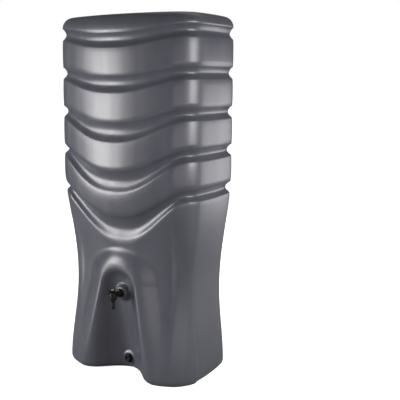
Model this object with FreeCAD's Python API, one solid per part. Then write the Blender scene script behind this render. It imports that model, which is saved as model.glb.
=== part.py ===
import FreeCAD, Part
import os
from math import atan2, cos, hypot, pi, sin, sqrt

from FreeCAD import Vector

# Rainwater tank of blow-moulded plastic with a lever tap, a drain and a screw lid.
# Millimetres. +Z is up, the front faces -Y, the origin is on the ground under the middle.

# Plan of the upper body: five tangent arcs from the middle of the front to the middle of the back
HEIGHT = 1300.0
HALF_WIDTH = 300.0
DEPTH = 420.0
FRONT_RADIUS = 700.0
FRONT_CORNER_RADIUS = 115.0
SIDE_RADIUS = 900.0
SIDE_WIDEST_BEHIND_FRONT = 190.0
BACK_CORNER_RADIUS = 90.0
BACK_RADIUS = 3000.0
WALL = 5.0

# Height at which the body starts to draw in, and how far it does at the waist and at the base
WAIST_TOP = 760.0
SIDE_WAIST_HEIGHT = 320.0
SIDE_WAIST_INSET = 37.0
SIDE_BASE_INSET = 18.0
FRONT_WAIST_HEIGHT = 400.0
FRONT_WAIST_INSET = 62.0
FRONT_BASE_INSET = 8.0
FOOT_EDGE_RADIUS = 22.0
SHOULDER_WIDTH = 40.0

# Five grooves, counted from the top: level round the sides and back, dipping at the front
GROOVE_COUNT = 5
TOP_GROOVE_HEIGHT = 1238.0
GROOVE_PITCH = 137.5
GROOVE_SIDE_HALF = 23.0
GROOVE_FRONT_HALF = (26.0, 31.0, 38.0, 43.0, 48.0)
GROOVE_DIP = (28.0, 39.0, 67.0, 103.0, 134.0)
GROOVE_DEPTH = (14.5, 15.5, 16.5, 18.0, 19.0)
DIP_REACH = 300.0
DIP_FLATNESS = 1.245
GROOVE_PROFILE = ((1.0, 0.0), (0.5, 0.92), (0.0, 0.94), (-1.0, 0.0))

# Arched recess of the front: a panel that leans back as it goes down, with splayed walls
PANEL_TOP = 400.0
PANEL_TOP_DEPTH = 62.0
PANEL_LEAN = 0.145
PANEL_SHOULDER = 334.0
PANEL_HALF = 66.0
PANEL_FOOT_HALF = 24.0
RECESS_SPLAY = 0.45
RECESS_FOOT_SPLAY = 1.15
RECESS_REACH = 160.0
ARCH_BELOW = 60.0
BOSS_ROOT = 16.0

# Raised frame round the recess, which spreads to the feet
FRAME_TOP = 465.0
FRAME_SHOULDER = 353.0
FRAME_HALF = 112.0
FRAME_FOOT_HALF = 240.0
FRAME_RAISE = 28.0
FRAME_FOOT_RAISE = 3.0
FRAME_SPLAY = 1.1
FRAME_DEPTH = 50.0
FRAME_REACH = 60.0
FRAME_LEVELS = 6

# Filling neck in a round pocket of the top, with its screw lid and seal
POCKET_RADIUS = 125.0
POCKET_DEPTH = 18.0
NECK_RADIUS = 92.0
NECK_BORE = 86.0
NECK_RISE = 11.0
LID_SKIRT_CLEARANCE = 0.6
LID_SKIRT_WALL = 3.5
LID_TOP_WALL = 3.5
LID_FLANGE = 7.0
LID_FLANGE_HEIGHT = 3.5
LID_SEAL_HEIGHT = 2.0
LID_FLOOR_GAP = 0.6
LID_RIB_HEIGHT = 2.0
LID_RIB_WIDTH = 5.0
LID_RIB_LENGTH = 150.0
LID_NOTCHES = 12
LID_NOTCH_RADIUS = 4.0

# Lever tap on a conical boss of the panel
TAP_HEIGHT = 312.0
TAP_BOSS_BASE = 32.0
TAP_BOSS_TOP = 23.0
TAP_BOSS_RISE = 22.0
TAP_THREAD = 13.2
THREAD_CLEARANCE = 0.3
TAP_WASHER = 17.5
TAP_WASHER_HEIGHT = 2.5
TAP_FLANGE = 16.5
TAP_FLANGE_HEIGHT = 4.0
TAP_COLLAR_FLATS = 26.0
TAP_COLLAR_HEIGHT = 6.0
TAP_BARREL = 9.8
TAP_BORE = 6.5
TAP_REACH = 40.0
TAP_HUB = 13.5
TAP_HUB_ABOVE = 10.0
TAP_HUB_BELOW = 13.0
COCK_RADIUS = 9.0
COCK_FIT = 0.08
COCK_BORE = 5.0
COCK_STEM = 5.0
COCK_FLOOR = 3.0
GLAND_HEIGHT = 5.0
GLAND_FLATS = 24.0
LEVER_HUB = 7.5
LEVER_HUB_HEIGHT = 6.0
LEVER_GAP = 0.3
LEVER_REACH = 24.0
LEVER_WIDTH = 5.0
LEVER_ARM_STEP = 0.5
LEVER_KNOB = 4.6
LEVER_SCREW = 2.0
LEVER_SCREW_HEAD = 6.0
LEVER_SCREW_HEAD_HEIGHT = 2.0
LEVER_SCREW_LENGTH = 9.0
SCREW_SLOT_WIDTH = 1.2
SCREW_SLOT_DEPTH = 1.0
SPOUT_RADIUS = 7.4
SPOUT_WAIST = 6.2
SPOUT_LENGTH = 36.0
SPOUT_TAIL = 15.0
SPOUT_ROOT = 11.5
SPOUT_FLARE = 3.0
SPOUT_LEAD = 1.5
SPOUT_BORE = 4.0
O_RING = 0.9
O_RING_EDGE = 2.5
NUT_FLATS = 33.0
NUT_HEIGHT = 8.0
THREAD_BEYOND_NUT = 3.0

# Drain fitting low in the recess
DRAIN_HEIGHT = 48.0
DRAIN_BOSS_BASE = 27.0
DRAIN_BOSS_TOP = 23.0
DRAIN_BOSS_RISE = 8.0
DRAIN_THREAD = 13.2
DRAIN_FLANGE = 18.0
DRAIN_FLANGE_HEIGHT = 4.0
DRAIN_WASHER = 17.5
DRAIN_WASHER_HEIGHT = 2.0
DRAIN_BORE = 9.5
PLUG_FIT = 0.08
PLUG_HEAD = 13.0
PLUG_HEAD_HEIGHT = 5.0
PLUG_LENGTH = 16.0
PLUG_SEAL = 12.5
PLUG_SEAL_HEIGHT = 1.5
PLUG_SOCKET_FLATS = 10.0
PLUG_SOCKET_DEPTH = 4.0

# Faces along each arc of the plan, points along each face, and how levels divide the body
ARC_FACES = (2, 4, 1, 3, 1)
FACE_POINTS = (3, 2, 4, 2, 4)
BODY_LEVELS = 8
INNER_BODY_LEVELS = 6
BODY_LEVEL_SPREAD = 1.25
EDGE_STEPS = 3
INNER_EDGE_STEPS = 2

FRONT = -DEPTH / 2
BACK = DEPTH / 2
UP = Vector(0, 0, 1)
OUT = Vector(0, -1, 0)
IN = Vector(0, 1, 0)


def between(low, high, share):
    """Value that runs from low to high with level ends as share runs from 0 to 1."""
    share = max(0.0, min(1.0, share))
    return low + (high - low) * (1 - cos(pi * share)) / 2


def arc_between(centre_a, radius_a, centre_b, radius_b, radius):
    """Centre, on the +X side, of an arc that joins two larger arcs from inside."""
    reach_a = radius_a - radius
    reach_b = radius_b - radius
    dx = centre_b[0] - centre_a[0]
    dy = centre_b[1] - centre_a[1]
    distance = hypot(dx, dy)
    along = (reach_a ** 2 - reach_b ** 2 + distance ** 2) / (2 * distance)
    across = sqrt(reach_a ** 2 - along ** 2)
    choices = []
    for side in (1, -1):
        x = centre_a[0] + (dx * along - side * dy * across) / distance
        y = centre_a[1] + (dy * along + side * dx * across) / distance
        choices.append((x, y))
    return max(choices)


def heading(centre, other):
    """Angle from -Y towards +X of the line from centre to other."""
    return atan2(other[0] - centre[0], centre[1] - other[1])


def plan_arcs():
    """The right half of the plan as (centre, radius, first angle, last angle)."""
    front = (0.0, FRONT + FRONT_RADIUS)
    side = (HALF_WIDTH - SIDE_RADIUS, FRONT + SIDE_WIDEST_BEHIND_FRONT)
    back = (0.0, BACK - BACK_RADIUS)
    front_corner = arc_between(front, FRONT_RADIUS, side, SIDE_RADIUS, FRONT_CORNER_RADIUS)
    back_corner = arc_between(side, SIDE_RADIUS, back, BACK_RADIUS, BACK_CORNER_RADIUS)
    turns = (0.0, heading(front, front_corner), heading(side, front_corner),
             heading(side, back_corner), heading(back, back_corner), pi)
    centres = (front, front_corner, side, back_corner, back)
    radii = (FRONT_RADIUS, FRONT_CORNER_RADIUS, SIDE_RADIUS, BACK_CORNER_RADIUS, BACK_RADIUS)
    return [(centres[i], radii[i], turns[i], turns[i + 1]) for i in range(5)]


ARCS = plan_arcs()
HALF_GIRTH = sum(radius * (last - first) for centre, radius, first, last in ARCS)


def plan_point(run):
    """Point and outward normal of the plan at a signed run from the middle of the front."""
    side = 1 if run >= 0 else -1
    left = min(abs(run), HALF_GIRTH)
    for centre, radius, first, last in ARCS:
        length = radius * (last - first)
        if left <= length or last == pi:
            turn = min(first + left / radius, last)
            x = centre[0] + radius * sin(turn)
            y = centre[1] - radius * cos(turn)
            return side * x, y, side * sin(turn), -cos(turn)
        left -= length


def section_runs(counts):
    """Runs that divide each arc evenly, from the back round the front to the back."""
    half = [0.0]
    for (centre, radius, first, last), count in zip(ARCS, counts):
        length = radius * (last - first)
        start = half[-1]
        half += [start + length * (i + 1) / count for i in range(count)]
    return [-run for run in reversed(half[1:])] + half


POINT_RUNS = section_runs([faces * points for faces, points in zip(ARC_FACES, FACE_POINTS)])
EDGE_RUNS = section_runs(ARC_FACES)


def waist(z, normal_x, normal_y):
    """How far the body draws in at this height, by the way that the plan faces."""
    if z > SIDE_WAIST_HEIGHT:
        share = (z - SIDE_WAIST_HEIGHT) / (WAIST_TOP - SIDE_WAIST_HEIGHT)
        side = between(SIDE_WAIST_INSET, 0.0, share)
    else:
        side = between(SIDE_BASE_INSET, SIDE_WAIST_INSET, z / SIDE_WAIST_HEIGHT)
    if z > FRONT_WAIST_HEIGHT:
        share = (z - FRONT_WAIST_HEIGHT) / (WAIST_TOP - FRONT_WAIST_HEIGHT)
        front = between(FRONT_WAIST_INSET, 0.0, share)
    else:
        front = between(FRONT_BASE_INSET, FRONT_WAIST_INSET, z / FRONT_WAIST_HEIGHT)
    forward = max(0.0, -normal_y) ** 2
    return front * forward + side * (1 - forward)


def panel_depth(z):
    """Depth of the recess's panel behind the foremost line of the tank."""
    return PANEL_TOP_DEPTH + (PANEL_TOP - z) * PANEL_LEAN


def skin_point(run, z, inset):
    """Point of the plain skin at a run round the plan and a height, moved inwards by inset."""
    x, y, normal_x, normal_y = plan_point(run)
    drawn_in = waist(z, normal_x, normal_y) + inset
    return Vector(x - normal_x * drawn_in, y - normal_y * drawn_in, z)


def dip(run):
    """Share of a groove's dip at a run from the middle of the front."""
    if abs(run) > DIP_REACH:
        return 0.0
    return cos(pi / 2 * (abs(run) / DIP_REACH) ** DIP_FLATNESS) ** 2


def groove_height(number, run, level):
    """Height of a groove at a run: level is 1 on its upper lip and -1 on its lower one."""
    share = dip(run)
    middle = TOP_GROOVE_HEIGHT - GROOVE_PITCH * number - GROOVE_DIP[number] * share
    half = GROOVE_SIDE_HALF + (GROOVE_FRONT_HALF[number] - GROOVE_SIDE_HALF) * share
    return middle + half * level


def section(height, inset):
    """Closed smooth section of the skin as edges, its height given by a function of the run."""
    points = [skin_point(run, height(run), inset) for run in POINT_RUNS[:-1]]
    curve = Part.BSplineCurve()
    curve.interpolate(Points=points, PeriodicFlag=True, Parameters=POINT_RUNS)
    return [curve.toShape(start, end) for start, end in zip(EDGE_RUNS, EDGE_RUNS[1:])]


def skin_solid(sections):
    """Solid through sections from a flat lowest one to a flat highest one."""
    faces = [Part.Face(Part.Wire(sections[0])), Part.Face(Part.Wire(sections[-1]))]
    for lower, upper in zip(sections, sections[1:]):
        faces += [Part.makeRuledSurface(low, high) for low, high in zip(lower, upper)]
    shell = Part.makeShell(faces)
    shell.sewShape()
    solid = Part.makeSolid(shell)
    if solid.Volume < 0:
        solid.reverse()
    return solid


def groove_sections(number, inset):
    """Sections across one groove, from its lower lip to its upper one."""
    sections = []
    for level, share in reversed(GROOVE_PROFILE):
        def height(run, level=level):
            return groove_height(number, run, level)
        sections.append(section(height, inset + share * GROOVE_DEPTH[number]))
    return sections


def body_sections(inset, levels):
    """Sections from the top of the foot's edge to the lower lip of the lowest groove."""
    sections = []
    for i in range(levels + 1):
        share = 1 - (1 - i / levels) ** BODY_LEVEL_SPREAD

        def height(run, share=share):
            top = groove_height(GROOVE_COUNT - 1, run, -1)
            return FOOT_EDGE_RADIUS + (top - FOOT_EDGE_RADIUS) * share
        sections.append(section(height, inset))
    return sections


def level_section(level, inset):
    """Section of the skin at one height."""
    return section(lambda run: level, inset)


def foot_levels(inset, steps):
    """Heights and offsets round the edge between the base and the walls."""
    radius = FOOT_EDGE_RADIUS - inset
    levels = []
    for i in range(steps + 1):
        turn = pi / 2 * i / steps
        levels.append((FOOT_EDGE_RADIUS - radius * cos(turn), inset + radius * (1 - sin(turn))))
    return levels


def shoulder_sections(inset, steps):
    """Rounded shoulder between the top groove and the flat top."""
    sections = []
    for i in range(steps + 1):
        turn = pi / 2 * i / steps
        rise = sin(turn)
        edge = (SHOULDER_WIDTH - inset) * (1 - cos(turn))

        def height(run, rise=rise):
            low = groove_height(0, run, 1)
            return low + (HEIGHT - inset - low) * rise
        sections.append(section(height, inset + edge))
    return sections


def closed_skin(inset, levels, steps):
    """The tank's plain body, with its grooves, moved inwards by inset."""
    sections = [level_section(level, edge) for level, edge in foot_levels(inset, steps)]
    sections += body_sections(inset, levels)[1:-1]
    for number in reversed(range(GROOVE_COUNT)):
        sections += groove_sections(number, inset)
    sections += shoulder_sections(inset, steps)[1:]
    return skin_solid(sections)


def cylinder(radius, start, direction, length):
    """Round bar from a start point."""
    return Part.makeCylinder(radius, length, start, direction)


def ring(outer, inner, start, direction, length):
    """Round bar with a bore."""
    return cylinder(outer, start, direction, length).cut(cylinder(inner, start, direction, length))


def hexagon(flats, start, direction, length):
    """Six-sided bar, given across its flats."""
    return polygon_bar(6, flats, start, direction, length)


def polygon_bar(sides, flats, start, direction, length):
    """Regular bar with its first flat up or outwards."""
    radius = flats / 2 / cos(pi / sides)
    across = Vector(1, 0, 0)
    along = direction.cross(across)
    points = []
    for i in range(sides + 1):
        turn = 2 * pi * (i + 0.5) / sides
        points.append(start + across * (radius * cos(turn)) + along * (radius * sin(turn)))
    return Part.Face(Part.makePolygon(points)).extrude(direction * length)


def revolved(profile, centre):
    """Solid turned about the vertical through centre from (radius, height) corners."""
    points = [centre + Vector(radius, 0, height) for radius, height in profile]
    face = Part.Face(Part.makePolygon(points + [points[0]]))
    return face.revolve(centre, UP, 360)


def arch(sizes, offset, foot_offset, depth):
    """Arch outline, grown at its top and foot, on a plane that starts at a depth."""
    half, top, shoulder, foot_half, lean = sizes

    def place(x, z):
        return Vector(x, FRONT + depth + (top - z) * lean, z)

    def mirror(point):
        return Vector(-point.x, point.y, point.z)

    rise = top + offset - shoulder
    foot = place(foot_half + foot_offset, -ARCH_BELOW)
    spring = place(half + offset, shoulder)
    haunch = place((half + offset) * sqrt(0.5), shoulder + rise * sqrt(0.5))
    crown = place(0, top + offset)
    upward = place(half + offset, top) - spring
    curve = Part.BSplineCurve()
    curve.interpolate(Points=[spring, haunch, crown, mirror(haunch), mirror(spring)],
                      InitialTangent=upward, FinalTangent=-upward)
    edges = [Part.LineSegment(foot, spring).toShape(), curve.toShape(),
             Part.LineSegment(mirror(spring), mirror(foot)).toShape(),
             Part.LineSegment(mirror(foot), foot).toShape()]
    return Part.Wire(edges)


def recess(inset):
    """What is taken from the front: the space before the panel, its walls moved by inset."""
    sizes = (PANEL_HALF, PANEL_TOP, PANEL_SHOULDER, PANEL_FOOT_HALF, PANEL_LEAN)
    grown = [inset * (hypot(1, splay) - splay) for splay in (RECESS_SPLAY, RECESS_FOOT_SPLAY)]
    back = arch(sizes, *grown, PANEL_TOP_DEPTH + inset)
    front = arch(sizes, grown[0] + RECESS_REACH * RECESS_SPLAY,
                 grown[1] + RECESS_REACH * RECESS_FOOT_SPLAY,
                 PANEL_TOP_DEPTH + inset - RECESS_REACH)
    return Part.makeLoft([back, front], True, True)


def frame(inset, steps):
    """Raised frame round the recess: a fuller skin, kept inside a drafted arch."""
    levels = foot_levels(inset, steps)
    for i in range(1, FRAME_LEVELS + 1):
        levels.append((FOOT_EDGE_RADIUS + FRAME_TOP * i / FRAME_LEVELS, inset))
    sections = []
    for level, edge in levels:
        raised = between(FRAME_FOOT_RAISE, FRAME_RAISE, level / FRAME_SHOULDER)
        sections.append(level_section(level, edge - raised))
    fuller = skin_solid(sections)
    sizes = (FRAME_HALF, FRAME_TOP, FRAME_SHOULDER, FRAME_FOOT_HALF, 0.0)
    shrunk = -inset * hypot(1, FRAME_SPLAY)
    smaller = shrunk - FRAME_REACH * FRAME_SPLAY
    larger = shrunk + FRAME_REACH * FRAME_SPLAY
    near = arch(sizes, smaller, smaller, FRAME_DEPTH - FRAME_REACH)
    far = arch(sizes, larger, larger, FRAME_DEPTH + FRAME_REACH)
    return fuller.common(Part.makeLoft([near, far], True, True))


TAP_FACE = Vector(0, FRONT + panel_depth(TAP_HEIGHT) - TAP_BOSS_RISE, TAP_HEIGHT)
DRAIN_FACE = Vector(0, FRONT + panel_depth(DRAIN_HEIGHT) - DRAIN_BOSS_RISE, DRAIN_HEIGHT)
POCKET_FLOOR = HEIGHT - POCKET_DEPTH
NECK_TOP = POCKET_FLOOR + NECK_RISE


def boss(face, base, top, rise, inset):
    """Conical boss that stands out of the panel, moved inwards by inset."""
    slope = (base - top) / rise
    nose = top + inset * (slope - hypot(1, slope))
    length = rise + BOSS_ROOT
    return Part.makeCone(nose, nose + slope * length, length, face + IN * inset, IN)


def tank_body():
    """The tank: one blown shell with an even wall, its forms seen inside as outside."""
    outer = closed_skin(0.0, BODY_LEVELS, EDGE_STEPS).fuse(frame(0.0, EDGE_STEPS))
    outer = outer.cut(recess(0.0))
    inner = closed_skin(WALL, INNER_BODY_LEVELS, INNER_EDGE_STEPS).fuse(frame(WALL, INNER_EDGE_STEPS))
    inner = inner.cut(recess(WALL))
    for face, base, top, rise in ((TAP_FACE, TAP_BOSS_BASE, TAP_BOSS_TOP, TAP_BOSS_RISE),
                                  (DRAIN_FACE, DRAIN_BOSS_BASE, DRAIN_BOSS_TOP, DRAIN_BOSS_RISE)):
        outer = outer.fuse(boss(face, base, top, rise, 0.0))
        inner = inner.fuse(boss(face, base, top, rise, WALL))
    floor = Vector(0, 0, POCKET_FLOOR)
    outer = outer.cut(cylinder(POCKET_RADIUS, floor, UP, POCKET_DEPTH))
    under = Vector(0, 0, POCKET_FLOOR - WALL)
    inner = inner.cut(cylinder(POCKET_RADIUS + WALL, under, UP, POCKET_DEPTH + WALL))
    body = outer.cut(inner)
    body = body.fuse(cylinder(NECK_RADIUS, under, UP, NECK_RISE + WALL))
    body = body.cut(cylinder(NECK_BORE, under, UP, NECK_RISE + WALL))
    hole = TAP_THREAD + THREAD_CLEARANCE
    body = body.cut(cylinder(hole, TAP_FACE, IN, WALL))
    hole = DRAIN_THREAD + THREAD_CLEARANCE
    return body.cut(cylinder(hole, DRAIN_FACE, IN, WALL)).removeSplitter()


def lid_parts():
    """Screw lid over the neck, with a knurled flange, a grip rib and a flat seal."""
    seat = Vector(0, 0, NECK_TOP)
    seal = ring(NECK_RADIUS, NECK_BORE, seat, UP, LID_SEAL_HEIGHT)
    skirt_bore = NECK_RADIUS + LID_SKIRT_CLEARANCE
    skirt = skirt_bore + LID_SKIRT_WALL
    bottom = Vector(0, 0, POCKET_FLOOR + LID_FLOOR_GAP)
    roof = NECK_TOP + LID_SEAL_HEIGHT
    lid = cylinder(skirt, bottom, UP, roof + LID_TOP_WALL - bottom.z)
    lid = lid.fuse(cylinder(skirt + LID_FLANGE, bottom, UP, LID_FLANGE_HEIGHT))
    lid = lid.cut(cylinder(skirt_bore, bottom, UP, roof - bottom.z))
    for i in range(LID_NOTCHES):
        turn = 2 * pi * i / LID_NOTCHES
        rim = Vector(cos(turn), sin(turn), 0) * (skirt + LID_FLANGE)
        lid = lid.cut(cylinder(LID_NOTCH_RADIUS, bottom + rim, UP, LID_FLANGE_HEIGHT))
    rib = Part.makeBox(LID_RIB_LENGTH, LID_RIB_WIDTH, LID_RIB_HEIGHT)
    top = Vector(-LID_RIB_LENGTH / 2, -LID_RIB_WIDTH / 2, roof + LID_TOP_WALL)
    rib.translate(top)
    return {"lid": lid.fuse(rib), "lid_seal": seal}


def tap_parts():
    """Lever tap: body with shank, hub and spout, its cock, seals, gland, lever and fixing."""
    washer_bore = TAP_THREAD + THREAD_CLEARANCE
    outer_washer = ring(TAP_WASHER, washer_bore, TAP_FACE, OUT, TAP_WASHER_HEIGHT)
    inside = TAP_FACE + IN * WALL
    inner_washer = ring(TAP_WASHER, washer_bore, inside, IN, TAP_WASHER_HEIGHT)
    nut_seat = inside + IN * TAP_WASHER_HEIGHT
    nut = hexagon(NUT_FLATS, nut_seat, IN, NUT_HEIGHT)
    nut = nut.cut(cylinder(TAP_THREAD, nut_seat, IN, NUT_HEIGHT))

    flange_back = TAP_FACE + OUT * TAP_WASHER_HEIGHT
    hub = flange_back + OUT * TAP_REACH
    hub_top = hub + UP * TAP_HUB_ABOVE
    hub_bottom = hub - UP * TAP_HUB_BELOW
    shank_length = TAP_WASHER_HEIGHT * 2 + WALL + NUT_HEIGHT + THREAD_BEYOND_NUT
    body = cylinder(TAP_THREAD, flange_back, IN, shank_length)
    body = body.fuse(cylinder(TAP_FLANGE, flange_back, OUT, TAP_FLANGE_HEIGHT))
    collar = flange_back + OUT * TAP_FLANGE_HEIGHT
    body = body.fuse(hexagon(TAP_COLLAR_FLATS, collar, OUT, TAP_COLLAR_HEIGHT))
    body = body.fuse(cylinder(TAP_BARREL, flange_back, OUT, TAP_REACH))
    body = body.fuse(cylinder(TAP_HUB, hub_bottom, UP, TAP_HUB_BELOW + TAP_HUB_ABOVE))
    tail = SPOUT_LENGTH - SPOUT_TAIL
    spout = ((0, 0), (SPOUT_ROOT, 0), (SPOUT_WAIST, -tail / 2), (SPOUT_WAIST, SPOUT_FLARE - tail),
             (SPOUT_RADIUS, -tail), (SPOUT_RADIUS, SPOUT_LEAD - SPOUT_LENGTH),
             (SPOUT_WAIST, -SPOUT_LENGTH), (0, -SPOUT_LENGTH))
    body = body.fuse(revolved(spout, hub_bottom))
    shank_end = flange_back + IN * shank_length
    body = body.cut(cylinder(TAP_BORE, shank_end, OUT, shank_length + TAP_REACH))
    cock_seat = hub_bottom + UP * COCK_FLOOR
    bore_length = hub_top.z - cock_seat.z
    body = body.cut(cylinder(COCK_RADIUS + COCK_FIT, cock_seat, UP, bore_length))
    spout_end = hub_bottom - UP * SPOUT_LENGTH
    body = body.cut(cylinder(SPOUT_BORE, spout_end, UP, SPOUT_LENGTH + COCK_FLOOR))

    stem_length = GLAND_HEIGHT + LEVER_GAP + LEVER_HUB_HEIGHT
    cock = cylinder(COCK_RADIUS, cock_seat, UP, bore_length)
    cock = cock.fuse(cylinder(COCK_STEM, hub_top, UP, stem_length))
    cock = cock.cut(cylinder(COCK_BORE, cock_seat, UP, hub.z + COCK_BORE - cock_seat.z))
    cock = cock.cut(cylinder(COCK_BORE, hub, Vector(1, 0, 0), TAP_HUB))
    seals = []
    seal_radius = COCK_RADIUS + COCK_FIT
    for rise in (O_RING_EDGE, bore_length - O_RING_EDGE):
        level = cock_seat + UP * (rise - O_RING)
        cock = cock.cut(ring(TAP_HUB, seal_radius - 2 * O_RING, level, UP, 2 * O_RING))
        seals.append(ring(seal_radius, seal_radius - 2 * O_RING, level, UP, 2 * O_RING))
    screw_hole = hub_top + UP * (stem_length - LEVER_SCREW_LENGTH)
    cock = cock.cut(cylinder(LEVER_SCREW, screw_hole, UP, LEVER_SCREW_LENGTH))

    gland = hexagon(GLAND_FLATS, hub_top, UP, GLAND_HEIGHT)
    gland = gland.cut(cylinder(COCK_STEM + COCK_FIT, hub_top, UP, GLAND_HEIGHT))

    lever_seat = hub_top + UP * (GLAND_HEIGHT + LEVER_GAP)
    lever = cylinder(LEVER_HUB, lever_seat, UP, LEVER_HUB_HEIGHT)
    arm = Part.makeBox(LEVER_WIDTH, LEVER_REACH, LEVER_HUB_HEIGHT - 2 * LEVER_ARM_STEP)
    arm.translate(lever_seat + Vector(-LEVER_WIDTH / 2, -LEVER_REACH, LEVER_ARM_STEP))
    lever = lever.fuse(arm)
    knob = lever_seat + OUT * LEVER_REACH + UP * (LEVER_HUB_HEIGHT / 2)
    lever = lever.fuse(cylinder(LEVER_KNOB, knob - UP * LEVER_KNOB, UP, 2 * LEVER_KNOB))
    lever = lever.cut(cylinder(COCK_STEM, lever_seat, UP, LEVER_HUB_HEIGHT))

    head_seat = lever_seat + UP * LEVER_HUB_HEIGHT
    screw = cylinder(LEVER_SCREW, screw_hole, UP, LEVER_SCREW_LENGTH)
    screw = screw.fuse(cylinder(LEVER_SCREW_HEAD, head_seat, UP, LEVER_SCREW_HEAD_HEIGHT))
    slot = Part.makeBox(2 * LEVER_SCREW_HEAD, SCREW_SLOT_WIDTH, SCREW_SLOT_DEPTH)
    slot_floor = LEVER_SCREW_HEAD_HEIGHT - SCREW_SLOT_DEPTH
    slot.translate(head_seat + Vector(-LEVER_SCREW_HEAD, -SCREW_SLOT_WIDTH / 2, slot_floor))
    return {
        "tap_body": body,
        "tap_outer_washer": outer_washer,
        "tap_inner_washer": inner_washer,
        "tap_backnut": nut,
        "tap_cock": cock,
        "tap_cock_lower_seal": seals[0],
        "tap_cock_upper_seal": seals[1],
        "tap_gland_nut": gland,
        "tap_lever": lever,
        "tap_lever_screw": screw.cut(slot),
    }


def drain_parts():
    """Drain fitting: threaded bush through the wall, its washers and nut, plug and seal."""
    washer_bore = DRAIN_THREAD + THREAD_CLEARANCE
    outer_washer = ring(DRAIN_WASHER, washer_bore, DRAIN_FACE, OUT, DRAIN_WASHER_HEIGHT)
    inside = DRAIN_FACE + IN * WALL
    inner_washer = ring(DRAIN_WASHER, washer_bore, inside, IN, DRAIN_WASHER_HEIGHT)
    nut_seat = inside + IN * DRAIN_WASHER_HEIGHT
    nut = hexagon(NUT_FLATS, nut_seat, IN, NUT_HEIGHT)
    nut = nut.cut(cylinder(DRAIN_THREAD, nut_seat, IN, NUT_HEIGHT))

    flange_back = DRAIN_FACE + OUT * DRAIN_WASHER_HEIGHT
    flange_front = flange_back + OUT * DRAIN_FLANGE_HEIGHT
    shank_length = DRAIN_WASHER_HEIGHT * 2 + WALL + NUT_HEIGHT + THREAD_BEYOND_NUT
    bush = cylinder(DRAIN_THREAD, flange_back, IN, shank_length)
    bush = bush.fuse(cylinder(DRAIN_FLANGE, flange_back, OUT, DRAIN_FLANGE_HEIGHT))
    through = shank_length + DRAIN_FLANGE_HEIGHT
    bush = bush.cut(cylinder(DRAIN_BORE + PLUG_FIT, flange_front, IN, through))

    seal = ring(PLUG_SEAL, DRAIN_BORE + PLUG_FIT, flange_front, OUT, PLUG_SEAL_HEIGHT)
    head = flange_front + OUT * PLUG_SEAL_HEIGHT
    plug = cylinder(DRAIN_BORE, head, IN, PLUG_LENGTH)
    plug = plug.fuse(cylinder(PLUG_HEAD, head, OUT, PLUG_HEAD_HEIGHT))
    face = head + OUT * PLUG_HEAD_HEIGHT
    plug = plug.cut(hexagon(PLUG_SOCKET_FLATS, face, IN, PLUG_SOCKET_DEPTH))
    return {
        "drain_bush": bush,
        "drain_outer_washer": outer_washer,
        "drain_inner_washer": inner_washer,
        "drain_backnut": nut,
        "drain_plug": plug,
        "drain_plug_seal": seal,
    }


parts = {"tank_body": tank_body()}
parts.update(lid_parts())
parts.update(tap_parts())
parts.update(drain_parts())

os.makedirs("parts", exist_ok=True)
for name, shape in parts.items():
    if len(shape.Solids) == 1:
        shape = shape.Solids[0]
    shape.exportStep(f"parts/{name}.step")
    print(name, shape.ShapeType, shape.isValid(), round(shape.Volume / 1000, 1), "cm3")
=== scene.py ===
# %% [markdown]
# The object is a garden rainwater tank, blow-moulded in one piece, with a lever tap, a drain and
# a screw lid. The CAD model gives every piece its place and its size. Blender adds what a mould
# and a workshop add: soft edges, smooth wavy grooves, threads, knurls and the satin of the plastic.
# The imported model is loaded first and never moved, and the new pieces are fitted to it.

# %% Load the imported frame
from math import atan2, cos, hypot, pi, radians, sin, sqrt

import bpy
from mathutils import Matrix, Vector


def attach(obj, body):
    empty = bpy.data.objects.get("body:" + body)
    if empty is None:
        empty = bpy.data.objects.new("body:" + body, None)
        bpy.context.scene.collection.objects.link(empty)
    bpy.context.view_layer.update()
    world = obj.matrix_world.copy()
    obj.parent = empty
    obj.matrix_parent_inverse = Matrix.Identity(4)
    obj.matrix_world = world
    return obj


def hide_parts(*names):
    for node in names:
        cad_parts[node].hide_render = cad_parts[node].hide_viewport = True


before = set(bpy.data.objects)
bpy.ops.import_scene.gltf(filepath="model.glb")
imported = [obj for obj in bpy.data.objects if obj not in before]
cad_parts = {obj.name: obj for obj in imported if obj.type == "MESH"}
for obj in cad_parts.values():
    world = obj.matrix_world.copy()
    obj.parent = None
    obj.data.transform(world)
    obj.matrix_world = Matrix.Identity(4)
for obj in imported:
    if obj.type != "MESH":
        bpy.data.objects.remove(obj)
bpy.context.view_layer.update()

MM = 0.001

# %% [markdown]
# A catalogue picture of such a tank is taken from a few metres away with a longish lens, so that
# its upright edges stay nearly parallel. The camera stands to the right of the tank's front, a
# little under the height of its top, and looks slightly down. The photograph was cropped with the
# tank left of its middle, and the eighth of a picture's width of shift is that crop.

# %% Camera
CAMERA_PLACE = (1.5594, -2.1872, 1.0829)
CAMERA_TURN = 34.985
CAMERA_PITCH = 9.49
CAMERA_LENS = 65.43
CAMERA_SHIFT = 0.1215

camera = bpy.data.objects.new("camera", bpy.data.cameras.new("camera"))
bpy.context.scene.collection.objects.link(camera)
camera.data.lens = CAMERA_LENS
camera.data.sensor_width = 36
camera.data.shift_x = CAMERA_SHIFT
camera.location = CAMERA_PLACE
camera.rotation_euler = (radians(90 - CAMERA_PITCH), 0, radians(CAMERA_TURN))
bpy.context.scene.camera = camera
bpy.context.scene.view_settings.view_transform = "Standard"
print("camera at", CAMERA_PLACE)

# %% [markdown]
# Shader maths is easiest to read as plain Python. A small class wraps a socket, so that an
# expression such as cloud * 0.6 + flow * 0.4 adds its Math nodes by itself. A second class wraps a
# node tree and adds any other node through one method: its type, its settings, then what goes into
# its sockets. A third one is a node tree that belongs to a material.

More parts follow.
